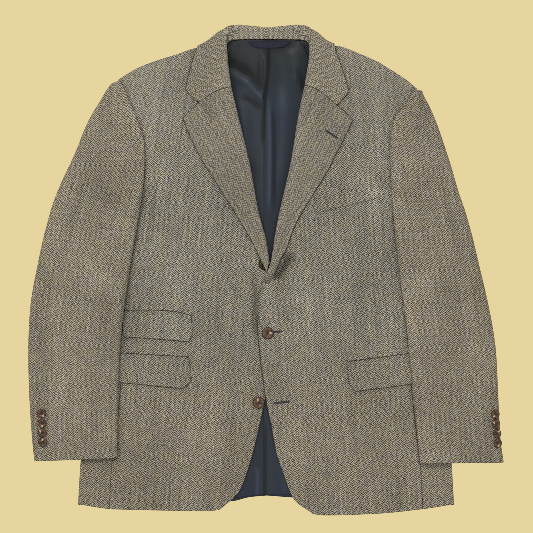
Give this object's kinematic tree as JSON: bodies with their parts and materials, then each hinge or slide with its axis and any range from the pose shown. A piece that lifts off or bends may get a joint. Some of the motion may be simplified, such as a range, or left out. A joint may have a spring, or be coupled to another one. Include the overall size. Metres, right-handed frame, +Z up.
{
  "type": "tweed hacking jacket",
  "caption": "Single-breasted herringbone tweed jacket laid flat on its back, middle button fastened, notched lapels, flapped hip pockets and a ticket pocket.",
  "frame": {"origin": "centre of the bounding box, at the floor under the jacket's outer back", "axes": "+Z up from the floor through the fronts, +Y from the hem to the collar, +X to the right as seen from above with the collar at the top"},
  "size_m": [0.7859, 0.811, 0.0349],
  "materials": {
    "tweed": "herringbone wool tweed, beige and near-black yarns",
    "lining": "satin lining, dark navy grey",
    "label": "woven, navy, plain",
    "horn": "polished brown horn"
  },
  "bodies": {
    "root": {"back_left": "tweed", "back_right": "tweed", "side_left": "tweed", "side_right": "tweed", "lining_left": "lining", "lining_right": "lining", "front_left": "tweed", "front_right": "tweed", "lapel_left": "tweed", "lapel_right": "tweed", "topsleeve_left": "tweed", "topsleeve_right": "tweed", "undersleeve_left": "tweed", "undersleeve_right": "tweed", "flap_left": "tweed", "flap_right": "tweed", "jet_left": "tweed", "jet_right": "tweed", "ticket_flap": "tweed", "ticket_jet": "tweed", "breast_welt": "tweed", "collar": "tweed", "label": "label", "button_top": "horn", "button_middle": "horn", "button_bottom": "horn", "cuff_button_left_1": "horn", "cuff_button_left_2": "horn", "cuff_button_left_3": "horn", "cuff_button_left_4": "horn", "cuff_button_right_1": "horn", "cuff_button_right_2": "horn", "cuff_button_right_3": "horn", "cuff_button_right_4": "horn"}
  },
  "joints": []
}
